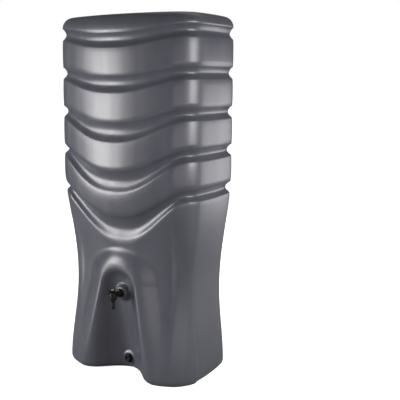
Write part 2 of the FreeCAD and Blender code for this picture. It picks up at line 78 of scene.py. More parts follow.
# %% Shader maths as expressions
class Value:
    """A number in a node tree that can be used in an expression."""

    def __init__(self, nodes, socket):
        self.nodes = nodes
        self.socket = socket

    def maths(self, operation, *terms):
        return self.nodes.add("ShaderNodeMath", {"operation": operation}, dict(enumerate(terms)))

    def __add__(self, other):
        return self.maths("ADD", self, other)

    def __mul__(self, other):
        return self.maths("MULTIPLY", self, other)

    __radd__ = __add__
    __rmul__ = __mul__


class NodeTree:
    """A node tree, built by adding one node after another."""

    def __init__(self, owner):
        owner.use_nodes = True
        self.tree = owner.node_tree

    def add(self, kind, settings, inputs, output=0):
        node = self.tree.nodes.new(kind)
        for name, value in settings.items():
            setattr(node, name, value)
        for name, value in inputs.items():
            self.feed(node, name, value)
        return Value(self, node.outputs[output])

    def feed(self, node, name, value):
        if isinstance(value, Value):
            self.tree.links.new(value.socket, node.inputs[name])
        else:
            node.inputs[name].default_value = value

    def blend(self, share, colour_a, colour_b):
        return self.add("ShaderNodeMix", {"data_type": "RGBA"},
                        {0: share, 6: colour_a, 7: colour_b}, 2)

    def band(self, value, low, high, to_low, to_high):
        return self.add("ShaderNodeMapRange", {"interpolation_type": "SMOOTHSTEP"},
                        {"Value": value, 1: low, 2: high, 3: to_low, 4: to_high})

    def camera_ray(self):
        return self.add("ShaderNodeLightPath", {}, {}, "Is Camera Ray")


class Finish(NodeTree):
    """The node tree of one material."""

    def __init__(self, name):
        self.material = bpy.data.materials.new(name)
        super().__init__(self.material)
        self.shader = self.tree.nodes["Principled BSDF"]
        self.place = self.add("ShaderNodeTexCoord", {}, {}, "Object")

    def surface(self, **inputs):
        for name, value in inputs.items():
            self.feed(self.shader, name.replace("_", " "), value)

    def stretched(self, scale):
        return self.add("ShaderNodeMapping", {}, {"Vector": self.place, "Scale": scale})

    def noise(self, scale, detail=3.0, vector=None):
        return self.add("ShaderNodeTexNoise", {},
                        {"Vector": vector or self.place, "Scale": scale, "Detail": detail})

    def relief(self, height, strength, distance):
        normal = self.add("ShaderNodeBump", {},
                          {"Height": height, "Strength": strength, "Distance": distance})
        self.surface(Normal=normal)


print("shader helpers ready")

# %% [markdown]
# The tank is polyethylene with the colour through it. Blow moulding leaves a satin skin with a
# fine orange peel, faint vertical flow marks from the tube of melt that was blown, and a slightly
# duller bloom in places. The colour hardly changes, so the detail is in roughness and bump.

# %% Finish of the moulded tank
TANK_GREY = (0.050, 0.050, 0.063, 1)
TANK_GREY_WORN = (0.059, 0.059, 0.074, 1)


def tank_finish():
    finish = Finish("tank_plastic")
    cloud = finish.noise(3.5, 4.0)
    flow = finish.noise(22.0, 3.0, finish.stretched((1.0, 1.0, 0.06)))
    peel = finish.noise(420.0, 2.0)
    grain = finish.noise(1900.0, 1.0)
    share = finish.band(cloud * 0.6 + flow * 0.4, 0.35, 0.65, 0.0, 1.0)
    finish.surface(Base_Color=finish.blend(share, TANK_GREY, TANK_GREY_WORN),
                   Roughness=finish.band(flow * 0.7 + cloud * 0.3, 0.3, 0.7, 0.30, 0.38),
                   Specular_IOR_Level=0.5)
    finish.relief(peel * 0.8 + grain * 0.2, 0.16, 0.4 * MM)
    return finish.material


print("tank greys", TANK_GREY[:3], "to", TANK_GREY_WORN[:3])

# %% [markdown]
# The tap, the drain and the lid are injection-moulded in black polypropylene, smoother than the
# tank. The seals are matt rubber, and the screw on the lever is bright steel with a brushed grain.

# %% Finishes of the fittings
FITTING_BLACK = (0.003, 0.003, 0.003, 1)
FITTING_WORN = (0.006, 0.006, 0.006, 1)
LID_BLACK = (0.016, 0.016, 0.017, 1)
LID_WORN = (0.03, 0.03, 0.032, 1)
RUBBER_BLACK = (0.01, 0.01, 0.01, 1)
RUBBER_WORN = (0.024, 0.023, 0.022, 1)
STEEL_DARK = (0.5, 0.5, 0.5, 1)
STEEL_BRIGHT = (0.66, 0.66, 0.65, 1)


def fitting_finish():
    finish = Finish("fitting_plastic")
    cloud = finish.noise(40.0, 3.0)
    grain = finish.noise(1500.0, 2.0)
    finish.surface(Base_Color=finish.blend(cloud, FITTING_BLACK, FITTING_WORN),
                   Roughness=finish.band(cloud, 0.3, 0.7, 0.32, 0.42), Specular_IOR_Level=0.2)
    finish.relief(grain, 0.12, 0.2 * MM)
    return finish.material


def lid_finish():
    finish = Finish("lid_plastic")
    cloud = finish.noise(14.0, 4.0)
    grain = finish.noise(1200.0, 2.0)
    finish.surface(Base_Color=finish.blend(cloud, LID_BLACK, LID_WORN),
                   Roughness=finish.band(cloud, 0.3, 0.7, 0.42, 0.56))
    finish.relief(grain, 0.2, 0.25 * MM)
    return finish.material


def rubber_finish():
    finish = Finish("seal_rubber")
    cloud = finish.noise(60.0, 4.0)
    finish.surface(Base_Color=finish.blend(cloud, RUBBER_BLACK, RUBBER_WORN),
                   Roughness=finish.band(cloud, 0.3, 0.7, 0.7, 0.86))
    finish.relief(finish.noise(900.0, 2.0), 0.25, 0.2 * MM)
    return finish.material


def steel_finish():
    finish = Finish("screw_steel")
    brushed = finish.noise(900.0, 2.0, finish.stretched((1.0, 0.05, 1.0)))
    finish.surface(Base_Color=finish.blend(brushed, STEEL_DARK, STEEL_BRIGHT),
                   Metallic=1.0, Roughness=finish.band(brushed, 0.3, 0.7, 0.22, 0.36))
    finish.relief(brushed, 0.1, 0.1 * MM)
    return finish.material


FINISHES = {
    "tank_plastic": tank_finish(),
    "fitting_plastic": fitting_finish(),
    "lid_plastic": lid_finish(),
    "seal_rubber": rubber_finish(),
    "screw_steel": steel_finish(),
}
SLOT_OF_NODE = {
    "lid": "lid_plastic",
    "lid_seal": "seal_rubber",
    "tap_outer_washer": "seal_rubber",
    "tap_inner_washer": "seal_rubber",
    "tap_cock_lower_seal": "seal_rubber",
    "tap_cock_upper_seal": "seal_rubber",
    "drain_outer_washer": "seal_rubber",
    "drain_inner_washer": "seal_rubber",
    "drain_plug_seal": "seal_rubber",
    "tap_lever_screw": "screw_steel",
    "tank_body": "tank_plastic",
}


def dress(piece, slot):
    """Gives a piece one finish."""
    piece.data.materials.clear()
    piece.data.materials.append(FINISHES[slot])


for name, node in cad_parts.items():
    dress(node, SLOT_OF_NODE.get(name, "fitting_plastic"))
print(len(FINISHES), "finishes on", len(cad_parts), "nodes")

# %% [markdown]
# The tank's skin follows rules rather than single shapes: a plan of five tangent arcs, drawn in
# by height, with five grooves that are level round the sides and dip at the front. Pushing each
# of them by hand would be slow and uneven. One fine grid is wrapped round the tank instead, its
# columns along the plan and its rows up the outside, over the top, through the neck and down the
# inside, so that the wall has its real thickness. These are the sizes of the CAD model again.

# %% Plan of the tank
HEIGHT = 1300.0
HALF_WIDTH = 300.0
DEPTH = 420.0
FRONT_RADIUS = 700.0
FRONT_CORNER_RADIUS = 115.0
SIDE_RADIUS = 900.0
SIDE_WIDEST_BEHIND_FRONT = 190.0
BACK_CORNER_RADIUS = 90.0
BACK_RADIUS = 3000.0
WALL = 5.0
FRONT = -DEPTH / 2
BACK = DEPTH / 2


def arc_between(centre_a, radius_a, centre_b, radius_b, radius):
    """Centre, on the +X side, of an arc that joins two larger arcs from inside."""
    reach_a = radius_a - radius
    reach_b = radius_b - radius
    dx = centre_b[0] - centre_a[0]
    dy = centre_b[1] - centre_a[1]
    distance = hypot(dx, dy)
    along = (reach_a ** 2 - reach_b ** 2 + distance ** 2) / (2 * distance)
    across = sqrt(reach_a ** 2 - along ** 2)
    choices = []
    for side in (1, -1):
        x = centre_a[0] + (dx * along - side * dy * across) / distance
        y = centre_a[1] + (dy * along + side * dx * across) / distance
        choices.append((x, y))
    return max(choices)


def heading(centre, other):
    """Angle from -Y towards +X of the line from centre to other."""
    return atan2(other[0] - centre[0], centre[1] - other[1])


def plan_arcs():
    """The right half of the plan as (centre, radius, first angle, last angle)."""
    front = (0.0, FRONT + FRONT_RADIUS)
    side = (HALF_WIDTH - SIDE_RADIUS, FRONT + SIDE_WIDEST_BEHIND_FRONT)
    back = (0.0, BACK - BACK_RADIUS)
    front_corner = arc_between(front, FRONT_RADIUS, side, SIDE_RADIUS, FRONT_CORNER_RADIUS)
    back_corner = arc_between(side, SIDE_RADIUS, back, BACK_RADIUS, BACK_CORNER_RADIUS)
    turns = (0.0, heading(front, front_corner), heading(side, front_corner),
             heading(side, back_corner), heading(back, back_corner), pi)
    centres = (front, front_corner, side, back_corner, back)
    radii = (FRONT_RADIUS, FRONT_CORNER_RADIUS, SIDE_RADIUS, BACK_CORNER_RADIUS, BACK_RADIUS)
    return [(centres[i], radii[i], turns[i], turns[i + 1]) for i in range(5)]


ARCS = plan_arcs()
HALF_GIRTH = sum(radius * (last - first) for centre, radius, first, last in ARCS)


def plan_point(run):
    """Point and outward normal of the plan at a signed run from the middle of the front."""
    side = 1 if run >= 0 else -1
    left = min(abs(run), HALF_GIRTH)
    for centre, radius, first, last in ARCS:
        length = radius * (last - first)
        if left <= length or last == pi:
            turn = min(first + left / radius, last)
            x = centre[0] + radius * sin(turn)
            y = centre[1] - radius * cos(turn)
            return side * x, y, side * sin(turn), -cos(turn)
        left -= length


print("half girth", round(HALF_GIRTH), "mm, arcs",
      [round(radius * (last - first)) for centre, radius, first, last in ARCS])

# %% [markdown]
# The columns stand close together where the form is busy, on the front round the tap, and wide
# apart on the flat back. Each stretch is given by its end and its spacing.

# %% Columns of the grid
COLUMN_STRETCHES = ((36.0, 2.25), (224.0, 4.5), (350.0, 6.0), (560.0, 18.0), (690.0, 10.0))
BACK_COLUMN_SPACING = 34.0


def columns():
    """Signed runs of the grid's columns, from the back round the front to the back."""
    half = [0.0]
    for end, spacing in COLUMN_STRETCHES + ((HALF_GIRTH, BACK_COLUMN_SPACING),):
        first = half[-1]
        count = max(1, round((end - first) / spacing))
        half += [first + (end - first) * (i + 1) / count for i in range(count)]
    return [-run for run in reversed(half[1:])] + half


RUNS = columns()
PLAN = {run: plan_point(run) for run in RUNS}
print(len(RUNS), "columns")

# %% [markdown]
# Lower down, the front and the sides draw in to a waist and spread again to the feet. In the
# front is an arched recess for the tap: a panel that leans back as it goes down, splayed walls,
# and a raised frame round it that spreads to the feet. The mould has no sharp corners there, so
# the forms are joined by soft maxima and minima, which leave a rounded edge. Only columns whose
# plan normal points forward by more than FACES_FRONT take part.

# %% Waist, recess and frame
WAIST_TOP = 760.0
SIDE_WAIST_HEIGHT = 320.0
SIDE_WAIST_INSET = 37.0
SIDE_BASE_INSET = 18.0
FRONT_WAIST_HEIGHT = 400.0
FRONT_WAIST_INSET = 62.0
FRONT_BASE_INSET = 8.0
PANEL_TOP = 400.0
PANEL_TOP_DEPTH = 62.0
PANEL_LEAN = 0.145
PANEL_SHOULDER = 334.0
PANEL_HALF = 66.0
PANEL_FOOT_HALF = 24.0
RECESS_SPLAY = 0.45
RECESS_FOOT_SPLAY = 1.15
ARCH_BELOW = 60.0
FRAME_SHOULDER = 353.0
FRAME_HALF = 112.0
FRAME_FOOT_HALF = 240.0
FRAME_RAISE = 28.0
FRAME_FOOT_RAISE = 3.0
FRAME_SPLAY = 1.1
FRAME_DEPTH = 50.0
ROLL_BLEND = 26.0
ROLL_FOOT_BLEND = 14.0
FLOOR_BLEND = 46.0
LIP_BLEND = 11.0
FOOT_LIP_BLEND = 44.0
FACES_FRONT = -0.15


def between(low, high, share):
    """Value that runs from low to high with level ends as share runs from 0 to 1."""
    share = max(0.0, min(1.0, share))
    return low + (high - low) * (1 - cos(pi * share)) / 2


def soft_max(a, b, blend):
    """The larger of two values, with a round step where they meet."""
    overlap = max(blend - abs(a - b), 0.0) / blend
    return max(a, b) + overlap * overlap * blend / 4


def soft_min(a, b, blend):
    """The smaller of two values, with a round step where they meet."""
    return -soft_max(-a, -b, blend)


def waist(z, normal_x, normal_y):
    """How far the body draws in at this height, by the way that the plan faces."""
    if z > SIDE_WAIST_HEIGHT:
        share = (z - SIDE_WAIST_HEIGHT) / (WAIST_TOP - SIDE_WAIST_HEIGHT)
        side = between(SIDE_WAIST_INSET, 0.0, share)
    else:
        side = between(SIDE_BASE_INSET, SIDE_WAIST_INSET, z / SIDE_WAIST_HEIGHT)
    if z > FRONT_WAIST_HEIGHT:
        share = (z - FRONT_WAIST_HEIGHT) / (WAIST_TOP - FRONT_WAIST_HEIGHT)
        front = between(FRONT_WAIST_INSET, 0.0, share)
    else:
        front = between(FRONT_BASE_INSET, FRONT_WAIST_INSET, z / FRONT_WAIST_HEIGHT)
    forward = max(0.0, -normal_y) ** 2
    return front * forward + side * (1 - forward)


def panel_depth(z):
    """Depth of the recess's panel behind the foremost line of the tank."""
    return PANEL_TOP_DEPTH + (PANEL_TOP - z) * PANEL_LEAN


def up_leg(z, shoulder, foot_value, top_value):
    """Value that changes evenly up the legs of an arch and stays the same above them."""
    share = min(1.0, (z + ARCH_BELOW) / (shoulder + ARCH_BELOW))
    return foot_value + (top_value - foot_value) * share


def arch_gap(x, z, half, shoulder, foot_half):
    """Distance outside an arch with legs that lean and a half-round top."""
    if z > shoulder:
        return hypot(x, z - shoulder) - half
    return abs(x) - up_leg(z, shoulder, foot_half, half)


def frame_raise(x, y, z):
    """How far the raised frame stands out here: a roll that rises inwards from its arch."""
    gap = arch_gap(x, z, FRAME_HALF, FRAME_SHOULDER, FRAME_FOOT_HALF)
    slope = y - FRONT - FRAME_DEPTH - gap / FRAME_SPLAY
    full = between(FRAME_FOOT_RAISE, FRAME_RAISE, z / FRAME_SHOULDER)
    return soft_max(0.0, soft_min(full, slope, ROLL_BLEND), ROLL_FOOT_BLEND)


def recess_depth(x, z, inset):
    """Depth of the recess's panel and splayed walls behind the front, at any x and z."""
    splay = up_leg(z, PANEL_SHOULDER, RECESS_FOOT_SPLAY, RECESS_SPLAY)
    grown = inset * (hypot(1, splay) - splay)
    gap = arch_gap(x, z, PANEL_HALF, PANEL_SHOULDER, PANEL_FOOT_HALF) - grown
    return panel_depth(z) + inset - soft_max(gap, 0.0, FLOOR_BLEND) / splay


print("recess panel", PANEL_TOP_DEPTH, "mm deep at its top,", round(panel_depth(0.0), 1), "at its foot")

# %% [markdown]
# The tap and the drain screw into two conical bosses that stand out of the panel. They belong to
# the same shell, so they are more of the same rule.

# %% Bosses
TAP_HEIGHT = 312.0
TAP_BOSS = (32.0, 23.0, 22.0)
DRAIN_HEIGHT = 48.0
DRAIN_BOSS = (27.0, 23.0, 8.0)
BOSS_BLEND = 12.0
NOSE_BLEND = 5.0
TAP_FACE = FRONT + panel_depth(TAP_HEIGHT) - TAP_BOSS[2]
DRAIN_FACE = FRONT + panel_depth(DRAIN_HEIGHT) - DRAIN_BOSS[2]


def boss_front(x, z, height, face, sizes, inset):
    """Y of a boss's cone at this x and z."""
    base, top, rise = sizes
    slope = (base - top) / rise
    nose = top + inset * (slope - hypot(1, slope))
    return face + inset + soft_max(0.0, hypot(x, z - height) - nose, NOSE_BLEND) / slope


def skin_point(run, z, inset, edge=0.0):
    """Point of the moulded skin. inset is 0 outside and WALL inside, edge rounds foot and top."""
    plan_x, plan_y, normal_x, normal_y = PLAN[run]
    drawn_in = waist(z, normal_x, normal_y) + inset
    x = plan_x - normal_x * drawn_in
    y = plan_y - normal_y * drawn_in
    if normal_y < FACES_FRONT:
        drawn_in -= frame_raise(x, y, z)
    x = plan_x - normal_x * (drawn_in + edge)
    y = plan_y - normal_y * (drawn_in + edge)
    if normal_y < FACES_FRONT:
        lip = up_leg(z, PANEL_SHOULDER, FOOT_LIP_BLEND, LIP_BLEND)
        y = soft_max(y, FRONT + recess_depth(x, z, inset) + edge, lip)
        for height, face, sizes in ((TAP_HEIGHT, TAP_FACE, TAP_BOSS),
                                    (DRAIN_HEIGHT, DRAIN_FACE, DRAIN_BOSS)):
            y = soft_min(y, boss_front(x, z, height, face, sizes, inset), BOSS_BLEND)
    return x, y, z


print("tap boss face at y", round(TAP_FACE, 1), "drain boss face at y", round(DRAIN_FACE, 1))

# %% [markdown]
# Each groove has a fairly sharp upper lip with a hollow wall under it, a round valley near its
# middle, and a straight lower wall that rises to a small round lip, so that two lines of light run
# along it. A quarter sine gives the hollow wall, and a ramp with softened ends the lower one. Their
# product is the share of the groove's depth.

# %% Grooves
GROOVE_COUNT = 5
TOP_GROOVE_HEIGHT = 1238.0
GROOVE_PITCH = 137.5
GROOVE_SIDE_HALF = 23.0
GROOVE_FRONT_HALF = (26.0, 31.0, 38.0, 43.0, 48.0)
GROOVE_DIP = (28.0, 39.0, 67.0, 103.0, 134.0)
GROOVE_DEPTH = (14.5, 15.5, 16.5, 18.0, 19.0)
DIP_REACH = 300.0
DIP_FLATNESS = 1.245
UPPER_WALL = 1.0
UPPER_ROUND = 0.8
LOWER_WALL = 1.1
VALLEY_ROUND = 0.6
LIP_ROUND = 0.3
LEVEL_SPREAD = 1.15
LIP_EASE = 1.0


def dip(run):
    """Share of a groove's dip at a run from the middle of the front."""
    if abs(run) > DIP_REACH:
        return 0.0
    return cos(pi / 2 * (abs(run) / DIP_REACH) ** DIP_FLATNESS) ** 2


def groove_height(number, run, level):
    """Height of a groove at a run: level is 1 on its upper lip and -1 on its lower one."""
    share = dip(run)
    middle = TOP_GROOVE_HEIGHT - GROOVE_PITCH * number - GROOVE_DIP[number] * share
    half = GROOVE_SIDE_HALF + (GROOVE_FRONT_HALF[number] - GROOVE_SIDE_HALF) * share
    return middle + half * level


def groove_share(level):
    """Share of a groove's depth between its lips."""
    upper = sin(pi / 2 * min(1.0, (1 - level) / UPPER_WALL)) ** UPPER_ROUND
    ramp = (1 + level) / LOWER_WALL * (1 + LIP_ROUND + VALLEY_ROUND) - LIP_ROUND
    return upper * soft_max(0.0, soft_min(1.0, ramp, VALLEY_ROUND), LIP_ROUND)


print("lowest groove reaches down to", groove_height(GROOVE_COUNT - 1, 0.0, -1), "mm in front")

# %% [markdown]
# Now the rows, one list from the middle of the base to the middle of the inside floor. A row is a
# function that gives the point of any column, so that a row can be level, or dip with a groove.

# %% Rows of the grid
FOOT_EDGE_RADIUS = 22.0
SHOULDER_WIDTH = 40.0
BASE_MIDDLE = (0.0, 40.0)
BODY_STRETCHES = ((0.13, 20), (0.48, 22), (0.68, 34), (1.0, 28))
BASE_SHARES = (0.0, 0.3, 0.6, 0.8, 0.9, 1.0)
INSIDE_FLOOR_SHARES = (1.0, 0.7, 0.35, 0.0)


def flat_row(share, inset, level):
    """Row across the base or the inside floor, from its middle at 0 to its edge at 1."""
    radius = FOOT_EDGE_RADIUS - inset

    def place(run):
        x, y, z = skin_point(run, level, inset, radius)
        return (BASE_MIDDLE[0] + (x - BASE_MIDDLE[0]) * share,
                BASE_MIDDLE[1] + (y - BASE_MIDDLE[1]) * share, level)
    return place


def foot_rows(inset, steps):
    """Rows round the edge between the base and the walls."""
    radius = FOOT_EDGE_RADIUS - inset
    rows = []
    for i in range(1, steps + 1):
        turn = pi / 2 * i / steps
        level = FOOT_EDGE_RADIUS - radius * cos(turn)
        edge = radius * (1 - sin(turn))
        rows.append(lambda run, level=level, edge=edge: skin_point(run, level, inset, edge))
    return rows


def body_rows(inset, body_shares):
    """Rows up to the lower lip of the lowest groove."""
    def row(share):
        def place(run):
            top = groove_height(GROOVE_COUNT - 1, run, -1)
            return skin_point(run, FOOT_EDGE_RADIUS + (top - FOOT_EDGE_RADIUS) * share, inset)
        return place
    return [row(share) for share in body_shares]


def groove_rows(number, inset, steps):
    """Rows up across one groove."""
    def row(level):
        def place(run):
            height = groove_height(number, run, level)
            return skin_point(run, height, inset, LIP_EASE + groove_share(level)
                              * (GROOVE_DEPTH[number] - LIP_EASE))
        return place
    return [row(1 - 2 * (1 - i / steps) ** LEVEL_SPREAD) for i in range(steps + 1)]


def band_rows(number, inset, steps):
    """Rows between a groove's upper lip and the lower lip of the next one up."""
    def row(share):
        def place(run):
            low = groove_height(number, run, 1)
            high = groove_height(number - 1, run, -1)
            return skin_point(run, low + (high - low) * share, inset,
                              LIP_EASE * (2 * share - 1) ** 4)
        return place
    return [row(i / steps) for i in range(1, steps)]


def shoulder_rows(inset, steps):
    """Rows over the rounded shoulder to the flat top."""
    def row(turn):
        def place(run):
            low = groove_height(0, run, 1)
            height = low + (HEIGHT - inset - low) * sin(turn)
            return skin_point(run, height, inset,
                              LIP_EASE * cos(turn) ** 4
                              + (SHOULDER_WIDTH - inset) * (1 - cos(turn)))
        return place
    return [row(pi / 2 * i / steps) for i in range(1, steps + 1)]


def ring_row(radius, level):
    """Round row, each of its points straight inwards from the tank's edge."""
    def place(run):
        plan_x, plan_y, normal_x, normal_y = PLAN[run]
        away = radius / hypot(plan_x, plan_y)
        return plan_x * away, plan_y * away, level
    return place


def top_rows(inset, radius, steps):
    """Rows over the flat top, from the shoulder to a circle."""
    level = HEIGHT - inset
    circle = ring_row(radius, level)

    def row(share):
        def place(run):
            x, y, z = skin_point(run, level, inset, SHOULDER_WIDTH - inset)
            to_x, to_y, to_z = circle(run)
            return x + (to_x - x) * share, y + (to_y - y) * share, level
        return place
    return [row(i / steps) for i in range(1, steps + 1)]


print("body rows end at", [end for end, count in BODY_STRETCHES], "of the way up to the grooves")

# %% [markdown]
# The filling neck stands in a round pocket of the top, under the lid. Its rows are rings, given
# by radius and height, from the rim of the pocket over the neck and back out under the top.

# %% Pocket and neck
POCKET_RADIUS = 125.0
POCKET_DEPTH = 18.0
NECK_RADIUS = 92.0
NECK_BORE = 86.0
NECK_RISE = 11.0
EASE = 3.0
POCKET_FLOOR = HEIGHT - POCKET_DEPTH
NECK_TOP = POCKET_FLOOR + NECK_RISE


def neck_rows():
    """Rings from the pocket's rim over the neck to the underside of the top."""
    rim = POCKET_RADIUS
    under = POCKET_FLOOR - WALL
    rings = (
        (rim + EASE / 3, HEIGHT - EASE / 3), (rim, HEIGHT - EASE), (rim, POCKET_FLOOR + EASE),
        (rim - EASE / 3, POCKET_FLOOR + EASE / 3), (rim - EASE, POCKET_FLOOR),
        (NECK_RADIUS + EASE, POCKET_FLOOR), (NECK_RADIUS + EASE / 3, POCKET_FLOOR + EASE / 3),
        (NECK_RADIUS, POCKET_FLOOR + EASE), (NECK_RADIUS, NECK_TOP - EASE / 3),
        (NECK_RADIUS - EASE / 3, NECK_TOP), (NECK_BORE + EASE / 3, NECK_TOP),
        (NECK_BORE, NECK_TOP - EASE / 3), (NECK_BORE, under + EASE / 3),
        (NECK_BORE + EASE / 3, under), (rim + WALL - EASE, under), (rim + WALL, under + EASE),
        (rim + WALL, HEIGHT - WALL - EASE / 3), (rim + WALL + EASE / 3, HEIGHT - WALL),
    )
    return [ring_row(radius, level) for radius, level in rings]


def shares(stretches, coarser=1):
    """Even steps from 0 to 1 in stretches given by their end and their count."""
    steps = [0.0]
    for end, count in stretches:
        first = steps[-1]
        count = max(2, count // coarser)
        steps += [first + (end - first) * (i + 1) / count for i in range(count)]
    return steps


def wall_rows(inset, foot_steps, body_shares, groove_steps, band_steps, shoulder_steps):
    """Rows of one skin from the foot's edge to the shoulder."""
    rows = foot_rows(inset, foot_steps)
    rows += body_rows(inset, body_shares[1:-1])
    for number in reversed(range(GROOVE_COUNT)):
        rows += groove_rows(number, inset, groove_steps)
        if number:
            rows += band_rows(number, inset, band_steps)
    return rows + shoulder_rows(inset, shoulder_steps)


outer = [flat_row(share, 0.0, 0.0) for share in BASE_SHARES]
outer += wall_rows(0.0, foot_steps=5, body_shares=shares(BODY_STRETCHES), groove_steps=17,
                   band_steps=5, shoulder_steps=9)
outer += top_rows(0.0, POCKET_RADIUS + EASE, steps=6)
inner = top_rows(WALL, POCKET_RADIUS + WALL + EASE, steps=3)[::-1][1:]
inner += wall_rows(WALL, foot_steps=2, body_shares=shares(BODY_STRETCHES, coarser=3),
                   groove_steps=6, band_steps=2, shoulder_steps=4)[::-1]
inner += [flat_row(share, WALL, WALL) for share in INSIDE_FLOOR_SHARES]
ROWS = outer + neck_rows() + inner
print(len(ROWS), "rows,", 2 * len(ROWS) * len(RUNS), "triangles")

# %% [markdown]
# A flat grid with as many columns and rows is added, and each of its points goes to its place on
# the tank. The rows that end in a pole and the seam at the back are merged, which closes the skin.

# %% Wrap the grid
TANK_SMOOTH_ANGLE = 80
POLE_MERGE = 0.02


def deselect_all():
    """Leaves nothing selected, so that an operator acts only on the new piece."""
    bpy.ops.object.select_all(action="DESELECT")


def smooth(piece, angle):
    """Smooth shading, broken where faces meet at more than an angle."""
    deselect_all()
    piece.select_set(True)
    bpy.context.view_layer.objects.active = piece
    bpy.ops.object.shade_smooth_by_angle(angle=radians(angle))


def settle(piece, name, body, slot, *nodes):
    """Names a finished piece, gives it its finish, body and slot, and hides what it stands for."""
    piece.name = name
    piece.data.name = name
    dress(piece, slot)
    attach(piece, body)
    if nodes:
        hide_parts(*nodes)
    print(name, len(piece.data.polygons), "faces")


deselect_all()
bpy.ops.mesh.primitive_grid_add(x_subdivisions=len(RUNS) - 1, y_subdivisions=len(ROWS) - 1)
tank = bpy.context.active_object
places = []
for row in ROWS:
    for run in RUNS:
        places += [value * MM for value in row(run)]
tank.data.vertices.foreach_set("co", places)
bpy.ops.object.mode_set(mode="EDIT")
bpy.ops.mesh.select_all(action="SELECT")
bpy.ops.mesh.remove_doubles(threshold=POLE_MERGE * MM)
bpy.ops.mesh.normals_make_consistent(inside=False)
bpy.ops.object.mode_set(mode="OBJECT")
smooth(tank, TANK_SMOOTH_ANGLE)
settle(tank, "tank_skin", "tank", "tank_plastic", "tank_body")

# %% [markdown]
# The round fittings are turned or moulded round an axis, so each is made as a lathe would make
# it: one point is pushed along half of the section, and the edge it leaves is spun round the
# axis. Sections are given as (radius, distance along the axis), and their corners are rounded
# before the spin, because a bevel afterwards would fold over itself in the fine threads. Bores are
# cut with an odd number of steps, so that no corner of a cutter falls on one of the piece's own.

# %% Turning and joining
UP = Vector((0, 0, 1))
OUT = Vector((0, -1, 0))
TURN_STEPS = 48
DRILL_STEPS = 47
FLUTE_STEPS = 16
SEAM_MERGE = 0.01
CLEAN_MERGE = 0.005
SLIVER = 0.002
FITTING_SMOOTH_ANGLE = 38
CORNER_SHARE = 0.4
BAR_SEGMENTS = 3
NUT_MOUTH = 1.4
NUT_MOUTH_DEPTH = 0.4
NUT_CHAMFER_SHARE = 0.6
THREAD_PITCH = 2.0
THREAD_DEPTH = 0.8
THREAD_CREST = (0.35, 0.5)
THREAD_FOOT = 0.85


def edit(piece):
    """Goes into edit mode on one piece, with all of it selected."""
    deselect_all()
    piece.select_set(True)
    bpy.context.view_layer.objects.active = piece
    bpy.ops.object.mode_set(mode="EDIT")
    bpy.ops.mesh.select_all(action="SELECT")


def rounded(corners, ease):
    """Section with each corner off the axis cut back by ease and bent through a middle point."""
    points = []
    for i, corner in enumerate(corners):
        here = Vector(corner)
        if corner[0] == 0:
            points.append(here)
            continue
        ends = []
        for other in (Vector(corners[i - 1]), Vector(corners[(i + 1) % len(corners)])):
            side = other - here
            ends.append(here + side * min(CORNER_SHARE, ease / side.length))
        points += [ends[0], here / 2 + (ends[0] + ends[1]) / 4, ends[1]]
    return points


def turned(corners, base, axis, ease, steps=TURN_STEPS):
    """Piece turned from a half section, in mm from a base point along an axis.

    A section that starts on the axis is solid, any other is a closed ring."""
    across = axis.orthogonal().normalized()
    section = rounded(corners, ease) if ease else corners
    places = [(base + axis * along + across * radius) * MM for radius, along in section]
    if corners[0][0]:
        places.append(places[0])
    deselect_all()
    bpy.ops.mesh.primitive_plane_add(size=MM)
    piece = bpy.context.active_object
    edit(piece)
    bpy.ops.mesh.merge(type="CENTER")
    bpy.ops.transform.translate(value=places[0])
    for here, there in zip(places, places[1:]):
        bpy.ops.mesh.extrude_region_move(TRANSFORM_OT_translate={"value": there - here})
    bpy.ops.mesh.select_all(action="SELECT")
    bpy.ops.mesh.spin(steps=steps, angle=2 * pi, center=base * MM, axis=axis)
    bpy.ops.mesh.select_all(action="SELECT")
    bpy.ops.mesh.remove_doubles(threshold=SEAM_MERGE * MM)
    bpy.ops.mesh.normals_make_consistent(inside=False)
    bpy.ops.object.mode_set(mode="OBJECT")
    return piece


def bar(size, middle, ease):
    """Rounded bar with its sides along the frame's axes."""
    deselect_all()
    bpy.ops.mesh.primitive_cube_add(size=1, location=middle * MM, scale=[side * MM for side in size])
    piece = bpy.context.active_object
    bpy.ops.object.transform_apply(location=True, rotation=True, scale=True)
    edit(piece)
    bpy.ops.mesh.bevel(offset=ease * MM, segments=BAR_SEGMENTS, clamp_overlap=True)
    bpy.ops.object.mode_set(mode="OBJECT")
    return piece


def boolean(piece, other, operation):
    """Joins another piece to this one, cuts it away or keeps what both share."""
    deselect_all()
    piece.select_set(True)
    bpy.context.view_layer.objects.active = piece
    modifier = piece.modifiers.new("boolean", "BOOLEAN")
    modifier.operation = operation
    modifier.object = other
    modifier.solver = "EXACT"
    bpy.ops.object.modifier_apply(modifier=modifier.name)
    bpy.data.objects.remove(other)
    return piece


def plug(radius, base, axis, start, end):
    """Round cutter that is used for a bore."""
    return turned(((0, start), (radius, start), (radius, end), (0, end)), base, axis, 0, DRILL_STEPS)


def hexagon(flats, base, axis, length):
    """Six-sided bar whose corners are turned off at both ends, as on a nut."""
    corner = flats / 2 / cos(pi / 6)
    deselect_all()
    bpy.ops.mesh.primitive_cylinder_add(vertices=6, radius=corner * MM, depth=length * MM)
    piece = bpy.context.active_object
    edit(piece)
    if axis == OUT:
        bpy.ops.transform.rotate(value=pi / 2, orient_axis="X", center_override=(0, 0, 0))
    bpy.ops.transform.translate(value=(base + axis * (length / 2)) * MM)
    bpy.ops.object.mode_set(mode="OBJECT")
    slope = (corner - flats / 2) * NUT_CHAMFER_SHARE
    chamfer = turned(((0, 0), (flats / 2, 0), (corner, slope), (corner, length - slope),
                      (flats / 2, length), (0, length)), base, axis, 0)
    return boolean(piece, chamfer, "INTERSECT")


